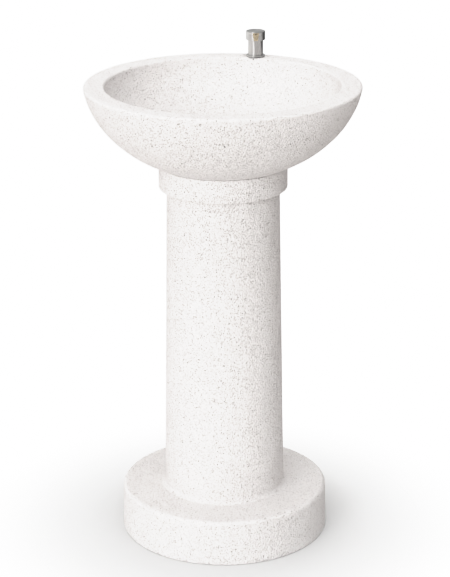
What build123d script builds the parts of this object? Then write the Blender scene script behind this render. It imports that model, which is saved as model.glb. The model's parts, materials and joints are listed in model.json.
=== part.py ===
"""Drinking fountain: a cast-stone bowl on a tapered column and plinth, with a push-button bubbler.

Units are millimetres. Z is up from the floor, the user stands at -Y and the bubbler is at +Y.
"""

import os
from math import atan2, cos, degrees, pi, radians, sin

from build123d import *

# ---- Cast-stone pieces ----
PLINTH_R_BOTTOM = 236.0
PLINTH_R_TOP = 233.5
PLINTH_H = 104.0
PLINTH_EDGE_R = 9.0
FOOT_CHAMFER = 2.0
SERVICE_BORE_R = 90.0

COLUMN_R_BOTTOM = 137.0
COLUMN_R_TOP = 125.0
MORTAR_T = 3.0
MORTAR_FILLET = 9.0
COLLAR_Z = 814.0
COLLAR_R = 142.5
COLLAR_EDGE_R = 2.5
SPIGOT_R = 122.0
BOWL_MORTAR_T = 2.0

BOWL_SEAT_Z = 867.0
RIM_Z = 1044.5
RIM_OUTER_FILLET = 5.0
RIM_INNER_FILLET = 5.0
# Section curves: radius and height of the widest place, depth below it, and power (2 is an ellipse).
BOWL_CURVE = (307.0, 1073.5, 232.2, 2.0)
BASIN_CURVE = (258.0, 1047.5, 150.5, 1.94)
CURVE_POINTS = 14

# ---- Dowels and floor anchors ----
DOWELS = 4
FOOT_DOWEL_R = 8.0
FOOT_DOWEL_RING = 113.5
FOOT_DOWEL_BURY = 40.0
BOWL_DOWEL_R = 6.0
BOWL_DOWEL_RING = 106.0
BOWL_DOWEL_DOWN = 40.0
BOWL_DOWEL_UP = 24.0
ANCHORS = 4
ANCHOR_RING = 180.0
ANCHOR_R = 9.0
ANCHOR_THREAD_R = 6.0
ANCHOR_LEN = 60.0
ANCHOR_THREAD_LEN = 45.0

# ---- Service opening at the back of the column ----
COVER_HALF_W = 78.0
COVER_Z0 = 330.0
COVER_Z1 = 650.0
COVER_CORNER = 10.0
COVER_T = 3.0
COVER_INSET = 0.5
REBATE_GAP = 1.0
GASKET_T = 1.5
GASKET_HALF_W = 76.0
GASKET_W = 11.0
OPENING_HALF_W = 62.0
OPENING_MARGIN = 20.0
COVER_SCREW_X = 70.0
COVER_SCREW_MARGIN = 9.0
COVER_SCREW_R = 2.5
COVER_HEAD_R = 5.2
COVER_HEAD_H = 2.7
COVER_SCREW_LEN = 24.0
COVER_INSERT_R = 4.5
COVER_INSERT_LEN = 27.0

# ---- Drain ----
DRAIN_RECESS_R = 37.0
DRAIN_RECESS_Z = 892.0
DRAIN_SEAL_T = 1.5
DRAIN_FLANGE_R = 36.0
DRAIN_FLANGE_T = 3.0
DRAIN_THREAD_R = 20.0
DRAIN_THROAT_R = 17.5
DRAIN_END_Z = 828.0
GRID_R = 27.8
GRID_SEAT_R = 28.0
GRID_T = 1.6
GRID_HOLE_R = 2.2
GRID_ROWS = ((6.5, 6), (12.5, 12))
BAR_W = 7.0
BAR_TOP_Z = 886.0
BAR_H = 6.0
GRID_SCREW_R = 2.5
GRID_HEAD_R = 4.5
GRID_HEAD_H = 2.0
UNDER_SEAL_R = 32.0
UNDER_SEAL_T = 4.0
UNDER_WASHER_R = 34.0
UNDER_WASHER_T = 2.0
LOCKNUT_R = 31.0
LOCKNUT_H = 12.0

# ---- Bottle trap and waste pipe ----
PIPE_R = 16.0
PIPE_WALL = 1.5
PIPE_FIT = 0.4
TAIL_WASHER_T = 2.0
TAIL_LIP_T = 2.0
TAIL_LIP_R = 19.8
TAIL_NUT_R = 26.0
TAIL_NUT_UP = 12.0
TAIL_NUT_DOWN = 8.0
TAIL_END_Z = 505.0
TRAP_R = 32.0
TRAP_WALL = 2.5
TRAP_TOP_Z = 560.0
TRAP_BOTTOM_Z = 470.0
TRAP_NECK_R = 20.0
TRAP_NECK_H = 23.0
TRAP_NUT_R = 26.0
TRAP_NUT_H = 22.0
TRAP_SEAL_H = 5.0
TRAP_SEAL_W = 3.5
CUP_R = 36.0
CUP_Z0 = 455.0
CUP_Z1 = 492.0
CUP_FLOOR_T = 4.0
CUP_SEAL_T = 4.0
OUTLET_Z = 535.0
OUTLET_X = -44.0
OUTLET_NUT_R = 20.5
OUTLET_NUT_X0 = -50.0
OUTLET_NUT_X1 = -36.0
WASTE_X = -68.0
PIPE_END_Z = 6.0
PIPE_BEAD_Z = 56.0
PIPE_BEAD_T = 4.0
PIPE_BEAD_W = 1.5

# ---- Water supply and stop valve ----
SUPPLY_X = 40.0
SUPPLY_Y = 48.0
RISER_R = 7.5
RISER_BORE_R = 6.5
RISER_BEAD_Z = 46.0
RISER_BEAD_T = 3.0
RISER_BEAD_W = 1.0
VALVE_Z = 465.0
VALVE_R = 14.0
VALVE_HALF_H = 14.0
VALVE_END_R = 12.0
VALVE_REACH = 32.0
VALVE_CAVITY_R = 9.6
VALVE_CAVITY_H = 11.0
VALVE_BORE_R = 5.0
VALVE_NUT_H = 12.0
RISER_DEPTH = 10.0
BALL_R = 9.0
BALL_FIT = 0.05
SEAT_START = 7.0
STEM_R = 4.0
STEM_FIT = 0.06
STEM_START = 7.5
BOSS_R = 8.0
BOSS_END = 20.0
PACKING_R = 8.5
PACKING_END = 25.0
HANDLE_GAP = 0.4
HANDLE_T = 3.0
HANDLE_W = 11.0
HANDLE_UP = 42.0
HANDLE_DOWN = 8.0
HANDLE_NUT_R = 6.5
HANDLE_NUT_T = 4.0
TUBE_R = 6.0
TUBE_BORE_R = 5.0
TUBE_LOW_BEND_Z = 700.0
TUBE_HIGH_BEND_Z = 790.0
TUBE_BEND_R = 40.0
SUPPLY_NUT_R = 11.5
SUPPLY_NUT_H = 12.0

# ---- Tube cast into the bowl ----
CAST_R = TUBE_R
CAST_BORE_R = TUBE_BORE_R
CAST_START_Y = 62.0
CAST_START_Z = 846.0
CAST_TURN_Z = 884.0
CAST_UNDER = (150.0, 897.0)
CAST_WALL = (222.0, 941.0)
CAST_RISE_Z = 995.0
CAST_END_Z = 1008.0
CAST_BEND_R = 14.0

# ---- Bubbler ----
TAP_Y = 277.5
SOCKET_R = 12.0
SOCKET_NECK_R = 9.5
SOCKET_Z0 = 1000.0
SOCKET_STEP_Z = 1010.0
SOCKET_Z1 = 1042.5
SHANK_R = 8.3
SHANK_BORE_R = 5.0
SHANK_Z0 = 1014.5
TAP_GASKET_R = 20.5
TAP_GASKET_T = 1.5
TAP_FLANGE_R = 21.8
TAP_FLANGE_T = 2.6
TAP_FLANGE_CHAMFER = 0.8
TAP_R = 17.2
TAP_TOP_Z = 1088.5
CHAMBER_R = 10.0
CHAMBER_Z = 1049.5
SEAT_LEDGE_Z = 1064.5
SEAT_RING_T = 3.0
SEAT_RING_R = 12.0
GLAND_H = 6.0
SPINDLE_R = 3.5
SPINDLE_FIT = 0.06
SPINDLE_BORE_R = 1.6
SPINDLE_Z0 = 1054.5
SPINDLE_CROSS_Z = 1073.5
SHOULDER_R = 8.2
SHOULDER_T = 1.8
ORING_R = 1.0
ORING_Z = 1085.5
SPRING_WIRE_R = 0.6
SPRING_R = 6.6
SPRING_TURNS = 4.0
PLUNGER_R = 7.5
PLUNGER_T = 3.0
PLUNGER_GAP = 0.3
PLUNGER_NUT_R = 6.0
PLUNGER_NUT_T = 4.5
CAP_R = 22.0
CAP_Z0 = 1083.5
CAP_Z1 = 1103.5
CAP_EDGE_R = 0.9
CAP_BORE_R = 17.7
CAP_ROOF_Z = 1095.5
SPINDLE_TOP_Z = 1101.5
NOZZLE_TURN = 17.0
NOZZLE_HALF_TOP = 7.5
NOZZLE_HALF_BOTTOM = 4.6
NOZZLE_Z0 = 1084.3
NOZZLE_Z1 = 1102.1
NOZZLE_BACK = 18.4
NOZZLE_FACE_R = 21.85
FEED_Z = 1098.9
FEED_R = 1.6
SPIGOT_BACK = 11.0
SPIGOT_TUBE_R = 3.0
JET_RISE = 15.0


def rod(radius, z0, z1, x=0.0, y=0.0):
    """Upright cylinder between two heights."""
    return Pos(x, y, (z0 + z1) / 2) * Cylinder(radius, z1 - z0)


def ring(outer, inner, z0, z1, x=0.0, y=0.0):
    """Upright ring between two heights."""
    return rod(outer, z0, z1, x, y) - rod(inner, z0, z1, x, y)


def hexagon(radius, z0, z1, x=0.0, y=0.0):
    """Upright six-sided bar, measured over its corners."""
    return Pos(x, y, z0) * extrude(RegularPolygon(radius, 6), z1 - z0)


def turned(points):
    """Solid of revolution about Z from (radius, height) corners."""
    outline = Polyline(*points, close=True)
    return revolve(Plane.XZ * make_face(outline), Axis.Z)


def around(shape, count, radius, first=45.0):
    """Copies of an upright shape on a circle about Z."""
    return [Rot(0, 0, first + 360.0 / count * i) * (Pos(radius, 0, 0) * shape) for i in range(count)]


def column_r(z):
    """Radius of the tapered column at a height."""
    share = (z - PLINTH_H) / (COLLAR_Z - PLINTH_H)
    return COLUMN_R_BOTTOM + (COLUMN_R_TOP - COLUMN_R_BOTTOM) * share


def column_cone(inset):
    """Solid cone that follows the column's surface at a depth."""
    z0 = COVER_Z0 - 40.0
    z1 = COVER_Z1 + 40.0
    cone = Cone(column_r(z0) - inset, column_r(z1) - inset, z1 - z0)
    return Pos(0, 0, (z0 + z1) / 2) * cone


def rear_block(half_w, z0, z1, corner):
    """Rounded block that reaches through the back of the column wall."""
    block = extrude(RectangleRounded(2 * half_w, z1 - z0, corner), 45.0, both=True)
    return Pos(0, 105.0, (z0 + z1) / 2) * (Rot(90, 0, 0) * block)


def curve_point(curve, angle):
    """Point (radius, height) on a section curve, widest place at 0 and axis at 90 degrees."""
    radius, top, depth, power = curve
    return (radius * cos(angle) ** (2.0 / power), top - depth * sin(angle) ** (2.0 / power))


def curve_angle(curve, z):
    """Angle at which a section curve reaches a height."""
    low = 0.0
    high = pi / 2
    for _ in range(60):
        middle = (low + high) / 2
        if curve_point(curve, middle)[1] > z:
            low = middle
        else:
            high = middle
    return low


def section(curve, start, end):
    """Smooth section curve between two angles."""
    step = (end - start) / (CURVE_POINTS - 1)
    return Spline(*[curve_point(curve, start + step * i) for i in range(CURVE_POINTS)])


# ---- Cast stone ----
def foot_dowels():
    low = PLINTH_H - FOOT_DOWEL_BURY
    return around(rod(FOOT_DOWEL_R, low, PLINTH_H + MORTAR_T + FOOT_DOWEL_BURY), DOWELS, FOOT_DOWEL_RING)


def bowl_dowels():
    low = BOWL_SEAT_Z - BOWL_MORTAR_T - BOWL_DOWEL_DOWN
    return around(rod(BOWL_DOWEL_R, low, BOWL_SEAT_Z + BOWL_DOWEL_UP), DOWELS, BOWL_DOWEL_RING)


def anchor_sockets():
    socket = rod(ANCHOR_R, 0, ANCHOR_LEN) - rod(ANCHOR_THREAD_R, 0, ANCHOR_THREAD_LEN)
    return around(socket, ANCHORS, ANCHOR_RING)


def base_plinth():
    body = turned([(0, 0), (PLINTH_R_BOTTOM, 0), (PLINTH_R_TOP, PLINTH_H), (0, PLINTH_H)])
    body = fillet(body.edges().filter_by(GeomType.CIRCLE).group_by(Axis.Z)[-1], PLINTH_EDGE_R)
    body = chamfer(body.edges().filter_by(GeomType.CIRCLE).group_by(Axis.Z)[0], FOOT_CHAMFER)
    body -= rod(SERVICE_BORE_R, 0, PLINTH_H)
    body -= around(rod(ANCHOR_R, 0, ANCHOR_LEN), ANCHORS, ANCHOR_RING)
    return body - foot_dowels()


def foot_mortar():
    """Bed under the column with a hollow fillet around its foot."""
    bed_z = PLINTH_H + MORTAR_T
    top_z = PLINTH_H + MORTAR_FILLET
    outer = column_r(PLINTH_H) + MORTAR_FILLET
    bulge = (column_r(top_z) + 0.36 * MORTAR_FILLET, PLINTH_H + 0.36 * MORTAR_FILLET)
    lines = [
        Line((SERVICE_BORE_R, PLINTH_H), (outer, PLINTH_H)),
        ThreePointArc((outer, PLINTH_H), bulge, (column_r(top_z), top_z)),
        Line((column_r(top_z), top_z), (column_r(bed_z), bed_z)),
        Line((column_r(bed_z), bed_z), (SERVICE_BORE_R, bed_z)),
        Line((SERVICE_BORE_R, bed_z), (SERVICE_BORE_R, PLINTH_H)),
    ]
    return revolve(Plane.XZ * make_face(lines), Axis.Z) - foot_dowels()


def column():
    foot_z = PLINTH_H + MORTAR_T
    top_z = BOWL_SEAT_Z - BOWL_MORTAR_T
    body = turned(
        [
            (SERVICE_BORE_R, foot_z),
            (column_r(foot_z), foot_z),
            (COLUMN_R_TOP, COLLAR_Z),
            (SPIGOT_R, COLLAR_Z),
            (SPIGOT_R, top_z),
            (SERVICE_BORE_R, top_z),
        ]
    )
    rebate = rear_block(
        COVER_HALF_W + REBATE_GAP, COVER_Z0 - REBATE_GAP, COVER_Z1 + REBATE_GAP, COVER_CORNER + REBATE_GAP
    )
    body -= rebate - column_cone(COVER_INSET + COVER_T + GASKET_T)
    body -= rear_block(
        OPENING_HALF_W, COVER_Z0 + OPENING_MARGIN, COVER_Z1 - OPENING_MARGIN, COVER_CORNER
    )
    for place in cover_screw_places():
        body -= place * rod(COVER_INSERT_R, -COVER_T - GASKET_T - COVER_INSERT_LEN, 5)
    body -= foot_dowels()
    return body - bowl_dowels()


def collar():
    body = ring(COLLAR_R, SPIGOT_R, COLLAR_Z, BOWL_SEAT_Z)
    outer_edges = body.edges().filter_by(GeomType.CIRCLE).sort_by(SortBy.RADIUS)[-2:]
    body = fillet(outer_edges.sort_by(Axis.Z)[0], COLLAR_EDGE_R)
    return body


def bowl_mortar():
    return ring(SPIGOT_R, SERVICE_BORE_R, BOWL_SEAT_Z - BOWL_MORTAR_T, BOWL_SEAT_Z) - bowl_dowels()


def bowl():
    outer_start = curve_angle(BOWL_CURVE, BOWL_SEAT_Z)
    outer_end = curve_angle(BOWL_CURVE, RIM_Z)
    inner_start = curve_angle(BASIN_CURVE, RIM_Z)
    inner_end = pi / 2 - 0.06
    under = curve_point(BOWL_CURVE, outer_start)
    rim_out = curve_point(BOWL_CURVE, outer_end)
    rim_in = curve_point(BASIN_CURVE, inner_start)
    low = curve_point(BASIN_CURVE, inner_end)
    lines = [
        section(BOWL_CURVE, outer_start, outer_end),
        Line(rim_out, rim_in),
        section(BASIN_CURVE, inner_start, inner_end),
        Line(low, (0, low[1])),
        Line((0, low[1]), (0, under[1])),
        Line((0, under[1]), under),
    ]
    body = revolve(Plane.XZ * make_face(lines), Axis.Z)
    rim_edges = body.edges().filter_by(GeomType.CIRCLE).group_by(Axis.Z)[-1].sort_by(SortBy.RADIUS)
    body = fillet(rim_edges[-1], RIM_OUTER_FILLET)
    rim_edges = body.edges().filter_by(GeomType.CIRCLE).group_by(Axis.Z)[-1].sort_by(SortBy.RADIUS)
    body = fillet(rim_edges[0], RIM_INNER_FILLET)
    body -= rod(DRAIN_RECESS_R, DRAIN_RECESS_Z, RIM_Z)
    body -= rod(DRAIN_THREAD_R, BOWL_SEAT_Z - 1, DRAIN_RECESS_Z + 1)
    body -= cast_solid(CAST_R)
    body -= rod(SOCKET_R, SOCKET_STEP_Z, RIM_Z + 1, 0, TAP_Y)
    body -= rod(SOCKET_NECK_R, SOCKET_Z0, SOCKET_STEP_Z, 0, TAP_Y)
    return body - bowl_dowels()


# ---- Service cover ----
def cover_screw_places():
    """Frames at the cover's four screws, each with Z pointing straight out of the column."""
    places = []
    for z in (COVER_Z0 + COVER_SCREW_MARGIN, COVER_Z1 - COVER_SCREW_MARGIN):
        radius = column_r(z) - COVER_INSET
        for x in (-COVER_SCREW_X, COVER_SCREW_X):
            y = (radius**2 - x**2) ** 0.5
            places.append(Location(Plane((x, y, z), x_dir=(0, 0, 1), z_dir=(x, y, 0))))
    return places


def cover_screw_shape(clearance):
    """Countersunk screw below its own head plane."""
    head = Pos(0, 0, -COVER_HEAD_H / 2) * Cone(COVER_SCREW_R, COVER_HEAD_R, COVER_HEAD_H)
    return head + rod(COVER_SCREW_R + clearance, -COVER_SCREW_LEN, -COVER_HEAD_H + 0.5)


def access_cover():
    shell = column_cone(COVER_INSET) - column_cone(COVER_INSET + COVER_T)
    plate = rear_block(COVER_HALF_W, COVER_Z0, COVER_Z1, COVER_CORNER) & shell
    for place in cover_screw_places():
        plate -= place * (cover_screw_shape(0.2) + rod(COVER_HEAD_R, 0, 2))
    return plate


def cover_gasket():
    shell = column_cone(COVER_INSET + COVER_T) - column_cone(COVER_INSET + COVER_T + GASKET_T)
    inset = COVER_HALF_W - GASKET_HALF_W
    frame = rear_block(GASKET_HALF_W, COVER_Z0 + inset, COVER_Z1 - inset, COVER_CORNER - inset)
    frame -= rear_block(
        GASKET_HALF_W - GASKET_W, COVER_Z0 + inset + GASKET_W, COVER_Z1 - inset - GASKET_W, 4
    )
    strip = frame & shell
    for place in cover_screw_places():
        strip -= place * rod(COVER_SCREW_R + 0.2, -COVER_SCREW_LEN, 1)
    return strip


def cover_screws():
    socket = hexagon(2.0, -1.8, 0.5)
    pin = rod(0.6, -1.8, -0.6)
    screw = cover_screw_shape(0) - socket + pin
    return [place * screw for place in cover_screw_places()]


def cover_inserts():
    top = -COVER_T - GASKET_T - 0.3
    bottom = -COVER_T - GASKET_T - COVER_INSERT_LEN
    insert = rod(COVER_INSERT_R, bottom, top) - rod(COVER_SCREW_R, -COVER_SCREW_LEN, top + 1)
    return [place * insert for place in cover_screw_places()]


# ---- Drain ----
def drain_flange():
    z0 = DRAIN_RECESS_Z + DRAIN_SEAL_T
    z1 = z0 + DRAIN_FLANGE_T
    body = rod(DRAIN_FLANGE_R, z0, z1)
    body = chamfer(body.edges().group_by(Axis.Z)[-1], 1.2)
    body += rod(DRAIN_THREAD_R, DRAIN_END_Z, z0)
    body -= rod(DRAIN_THROAT_R, DRAIN_END_Z, z1)
    body -= rod(GRID_SEAT_R, z1 - GRID_T, z1)
    bar = Pos(0, 0, BAR_TOP_Z - BAR_H / 2) * Box(2 * DRAIN_THROAT_R + 1, BAR_W, BAR_H)
    body += bar
    return body - rod(GRID_SCREW_R, BAR_TOP_Z - BAR_H, BAR_TOP_Z)


def drain_grid():
    z1 = DRAIN_RECESS_Z + DRAIN_SEAL_T + DRAIN_FLANGE_T
    body = rod(GRID_R, z1 - GRID_T, z1) - rod(GRID_SCREW_R, z1 - GRID_T, z1)
    for radius, count in GRID_ROWS:
        body -= around(rod(GRID_HOLE_R, z1 - GRID_T, z1), count, radius, 0.0)
    return body


def drain_screw():
    z1 = DRAIN_RECESS_Z + DRAIN_SEAL_T + DRAIN_FLANGE_T
    head = rod(GRID_HEAD_R, z1, z1 + GRID_HEAD_H)
    head = fillet(head.edges().group_by(Axis.Z)[-1], 1.0)
    slot = Pos(0, 0, z1 + GRID_HEAD_H) * Box(2 * GRID_HEAD_R, 1.2, 1.4)
    return head - slot + rod(GRID_SCREW_R, BAR_TOP_Z - BAR_H, z1)


def drain_top_seal():
    return ring(DRAIN_FLANGE_R, DRAIN_THREAD_R, DRAIN_RECESS_Z, DRAIN_RECESS_Z + DRAIN_SEAL_T)


def drain_bottom_seal():
    return ring(UNDER_SEAL_R, DRAIN_THREAD_R, BOWL_SEAT_Z - UNDER_SEAL_T, BOWL_SEAT_Z)


def drain_washer():
    top = BOWL_SEAT_Z - UNDER_SEAL_T
    return ring(UNDER_WASHER_R, DRAIN_THREAD_R, top - UNDER_WASHER_T, top)


def drain_locknut():
    top = BOWL_SEAT_Z - UNDER_SEAL_T - UNDER_WASHER_T
    return hexagon(LOCKNUT_R, top - LOCKNUT_H, top) - rod(DRAIN_THREAD_R, top - LOCKNUT_H, top)


def tailpipe_washer():
    return ring(TAIL_LIP_R, PIPE_R - PIPE_WALL, DRAIN_END_Z - TAIL_WASHER_T, DRAIN_END_Z)


def tailpipe():
    top = DRAIN_END_Z - TAIL_WASHER_T
    body = rod(PIPE_R, TAIL_END_Z, top) + rod(TAIL_LIP_R, top - TAIL_LIP_T, top)
    return body - rod(PIPE_R - PIPE_WALL, TAIL_END_Z, top)


def tailpipe_nut():
    lip_z = DRAIN_END_Z - TAIL_WASHER_T - TAIL_LIP_T
    body = hexagon(TAIL_NUT_R, lip_z - TAIL_NUT_DOWN, DRAIN_END_Z + TAIL_NUT_UP)
    body -= rod(DRAIN_THREAD_R, lip_z, DRAIN_END_Z + TAIL_NUT_UP)
    return body - rod(PIPE_R + PIPE_FIT, lip_z - TAIL_NUT_DOWN, lip_z)


# ---- Bottle trap ----
def sideways(shape):
    """Turns an upright shape so that its Z becomes X, at the trap's outlet height."""
    return Pos(0, 0, OUTLET_Z) * (Rot(0, 90, 0) * shape)


def trap_body():
    neck_top = TRAP_TOP_Z + TRAP_NECK_H
    body = rod(TRAP_R, TRAP_BOTTOM_Z, TRAP_TOP_Z) + rod(TRAP_NECK_R, TRAP_TOP_Z, neck_top)
    body += sideways(rod(PIPE_R, OUTLET_X, 0))
    body -= rod(TRAP_R - TRAP_WALL, TRAP_BOTTOM_Z, TRAP_TOP_Z - TRAP_WALL)
    body -= rod(PIPE_R + PIPE_FIT, TRAP_TOP_Z - TRAP_WALL, neck_top)
    return body - sideways(rod(PIPE_R - PIPE_WALL, OUTLET_X, -PIPE_R - 2))


def trap_inlet_seal():
    z0 = TRAP_TOP_Z + TRAP_NECK_H
    return ring(PIPE_R + TRAP_SEAL_W, PIPE_R, z0, z0 + TRAP_SEAL_H)


def trap_inlet_nut():
    seal_top = TRAP_TOP_Z + TRAP_NECK_H + TRAP_SEAL_H
    z1 = seal_top + 4
    body = hexagon(TRAP_NUT_R, z1 - TRAP_NUT_H, z1) - rod(TRAP_NECK_R, z1 - TRAP_NUT_H, seal_top)
    return body - rod(PIPE_R + PIPE_FIT, seal_top, z1)


def trap_cup():
    body = rod(CUP_R, CUP_Z0, CUP_Z1)
    body = fillet(body.edges().group_by(Axis.Z)[0], 6.0)
    for i in range(12):
        grip = rod(2.0, CUP_Z0 + 10, CUP_Z1, CUP_R + 1, 0)
        body -= Rot(0, 0, 30 * i) * grip
    body -= rod(TRAP_R, TRAP_BOTTOM_Z - CUP_SEAL_T, CUP_Z1)
    return body - rod(TRAP_R - TRAP_WALL - 0.5, CUP_Z0 + CUP_FLOOR_T, TRAP_BOTTOM_Z)


def trap_cup_seal():
    return ring(TRAP_R, TRAP_R - TRAP_WALL - 0.5, TRAP_BOTTOM_Z - CUP_SEAL_T, TRAP_BOTTOM_Z)


def trap_outlet_nut():
    return sideways(
        hexagon(OUTLET_NUT_R + 2, OUTLET_NUT_X0, OUTLET_NUT_X1) - rod(PIPE_R, OUTLET_NUT_X0, OUTLET_NUT_X1)
    )


def waste_pipe():
    bend = OUTLET_NUT_X0 - WASTE_X
    corner = (WASTE_X, 0, OUTLET_Z)
    path = FilletPolyline((OUTLET_X, 0, OUTLET_Z), corner, (WASTE_X, 0, PIPE_END_Z), radius=bend)
    start = Plane((OUTLET_X, 0, OUTLET_Z), z_dir=(-1, 0, 0))
    body = sweep(start * (Circle(PIPE_R) - Circle(PIPE_R - PIPE_WALL)), path)
    bead = ring(PIPE_R + PIPE_BEAD_W, PIPE_R, PIPE_BEAD_Z, PIPE_BEAD_Z + PIPE_BEAD_T, WASTE_X, 0)
    return body + bead


# ---- Supply and stop valve ----
def at_valve(shape):
    """Moves a shape made about the valve's centre to its place."""
    return Pos(SUPPLY_X, SUPPLY_Y, VALVE_Z) * shape


def along_stem(shape):
    """Turns an upright shape so that its Z points to the back, about the valve's centre."""
    return at_valve(Rot(-90, 0, 0) * shape)


def riser_pipe():
    top = VALVE_Z - VALVE_REACH + RISER_DEPTH
    body = rod(RISER_R, PIPE_END_Z, top, SUPPLY_X, SUPPLY_Y)
    bead_top = RISER_BEAD_Z + RISER_BEAD_T
    body += rod(RISER_R + RISER_BEAD_W, RISER_BEAD_Z, bead_top, SUPPLY_X, SUPPLY_Y)
    return body - rod(RISER_BORE_R, PIPE_END_Z, top, SUPPLY_X, SUPPLY_Y)


def riser_nut():
    top = VALVE_Z - VALVE_REACH
    nut = hexagon(SUPPLY_NUT_R, top - VALVE_NUT_H, top, SUPPLY_X, SUPPLY_Y)
    return nut - rod(RISER_R, top - VALVE_NUT_H, top, SUPPLY_X, SUPPLY_Y)


def valve_body():
    body = rod(VALVE_R, -VALVE_HALF_H, VALVE_HALF_H) + hexagon(VALVE_END_R, -VALVE_REACH, -VALVE_HALF_H)
    body += Rot(-90, 0, 0) * rod(BOSS_R, 0, BOSS_END)
    body -= rod(VALVE_CAVITY_R, -VALVE_CAVITY_H, VALVE_HALF_H)
    body -= rod(VALVE_BORE_R, -VALVE_REACH, -VALVE_CAVITY_H)
    body -= rod(RISER_R, -VALVE_REACH, -VALVE_REACH + RISER_DEPTH)
    body -= Rot(-90, 0, 0) * rod(STEM_R + STEM_FIT, 0, BOSS_END)
    return at_valve(body)


def valve_end():
    body = rod(VALVE_CAVITY_R, VALVE_CAVITY_H, VALVE_HALF_H)
    body += hexagon(VALVE_END_R, VALVE_HALF_H, VALVE_REACH)
    return at_valve(body - rod(VALVE_BORE_R, VALVE_CAVITY_H, VALVE_REACH))


def valve_seats():
    seat = ring(VALVE_CAVITY_R, VALVE_BORE_R, SEAT_START, VALVE_CAVITY_H) - Sphere(BALL_R + BALL_FIT)
    return [at_valve(seat), at_valve(Rot(180, 0, 0) * seat)]


def valve_packing_nut():
    nut = hexagon(PACKING_R, BOSS_END, PACKING_END) - rod(STEM_R + STEM_FIT, BOSS_END, PACKING_END)
    return along_stem(nut)


def valve_ball():
    slot = Pos(0, STEM_START + 2, 0) * Box(3.0, 4.0, 2 * BALL_R)
    return at_valve(Sphere(BALL_R) - rod(VALVE_BORE_R, -BALL_R, BALL_R) - slot)


def valve_stem():
    end = PACKING_END + HANDLE_GAP + HANDLE_T + HANDLE_NUT_T
    stem = rod(STEM_R, BALL_R + 0.3, end)
    tongue = Pos(0, 0, (STEM_START + BALL_R + 0.3) / 2) * Box(2.9, 6.0, BALL_R + 0.3 - STEM_START)
    return along_stem(stem + tongue)


def valve_handle():
    start = PACKING_END + HANDLE_GAP
    length = HANDLE_UP + HANDLE_DOWN
    plate = extrude(SlotOverall(length, HANDLE_W), HANDLE_T)
    lever = Pos(0, -(HANDLE_UP - HANDLE_DOWN) / 2, start) * (Rot(0, 0, 90) * plate)
    return along_stem(lever - rod(STEM_R, start, start + HANDLE_T))


def valve_handle_nut():
    start = PACKING_END + HANDLE_GAP + HANDLE_T
    nut = hexagon(HANDLE_NUT_R, start, start + HANDLE_NUT_T) - rod(STEM_R, start, start + HANDLE_NUT_T)
    return along_stem(nut)


def supply_core(radius):
    """Filled shape of the bent tube from the stop valve to the tube in the bowl."""
    path = FilletPolyline(
        (SUPPLY_X, SUPPLY_Y, VALVE_Z + VALVE_REACH),
        (SUPPLY_X, SUPPLY_Y, TUBE_LOW_BEND_Z),
        (0, CAST_START_Y, TUBE_HIGH_BEND_Z),
        (0, CAST_START_Y, CAST_START_Z),
        radius=TUBE_BEND_R,
    )
    return sweep(Plane(path @ 0, z_dir=(0, 0, 1)) * Circle(radius), path)


def supply_tube():
    return supply_core(TUBE_R) - supply_core(TUBE_BORE_R)


def supply_nuts():
    low = VALVE_Z + VALVE_REACH
    high = CAST_START_Z - SUPPLY_NUT_H / 2
    lower = hexagon(SUPPLY_NUT_R, low, low + SUPPLY_NUT_H, SUPPLY_X, SUPPLY_Y)
    upper = hexagon(SUPPLY_NUT_R, high, high + SUPPLY_NUT_H, 0, CAST_START_Y)
    return [
        lower - rod(TUBE_R, low, low + SUPPLY_NUT_H, SUPPLY_X, SUPPLY_Y),
        upper - rod(TUBE_R, high, high + SUPPLY_NUT_H, 0, CAST_START_Y),
    ]


# ---- Tube in the bowl ----
def cast_path():
    points = [
        (CAST_START_Y, CAST_START_Z),
        (CAST_START_Y, CAST_TURN_Z),
        CAST_UNDER,
        CAST_WALL,
        (TAP_Y, CAST_RISE_Z),
        (TAP_Y, CAST_END_Z),
    ]
    return FilletPolyline(*[(0, y, z) for y, z in points], radius=CAST_BEND_R)


def cast_solid(radius):
    path = cast_path()
    return sweep(Plane(path @ 0, z_dir=(0, 0, 1)) * Circle(radius), path)


def cast_in_tube():
    return cast_solid(CAST_R) - cast_solid(CAST_BORE_R)


def tap_socket():
    body = rod(SOCKET_R, SOCKET_STEP_Z, SOCKET_Z1, 0, TAP_Y)
    body += rod(SOCKET_NECK_R, SOCKET_Z0, SOCKET_STEP_Z, 0, TAP_Y)
    body -= rod(SHANK_R, SOCKET_STEP_Z, SOCKET_Z1, 0, TAP_Y)
    body -= rod(CAST_BORE_R, CAST_END_Z, SOCKET_STEP_Z, 0, TAP_Y)
    return body - cast_solid(CAST_R)


# ---- Bubbler ----
def tap_gasket():
    return ring(TAP_GASKET_R, SHANK_R, RIM_Z, RIM_Z + TAP_GASKET_T, 0, TAP_Y)


def tap_flange():
    z0 = RIM_Z + TAP_GASKET_T
    body = rod(TAP_FLANGE_R, z0, z0 + TAP_FLANGE_T, 0, TAP_Y)
    body = chamfer(body.edges().group_by(Axis.Z)[-1], TAP_FLANGE_CHAMFER)
    return body - rod(SHANK_R, z0, z0 + TAP_FLANGE_T, 0, TAP_Y)


def tap_body():
    z0 = RIM_Z + TAP_GASKET_T + TAP_FLANGE_T
    body = rod(TAP_R, z0, TAP_TOP_Z, 0, TAP_Y) + rod(SHANK_R, SHANK_Z0, z0, 0, TAP_Y)
    body -= rod(SHANK_BORE_R, SHANK_Z0, CHAMBER_Z, 0, TAP_Y)
    body -= rod(CHAMBER_R, CHAMBER_Z, SEAT_LEDGE_Z, 0, TAP_Y)
    return body - rod(SEAT_RING_R, SEAT_LEDGE_Z, TAP_TOP_Z, 0, TAP_Y)


def tap_seat():
    top = SEAT_LEDGE_Z + SEAT_RING_T
    return ring(SEAT_RING_R, VALVE_BORE_R, SEAT_LEDGE_Z, top, 0, TAP_Y)


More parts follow.
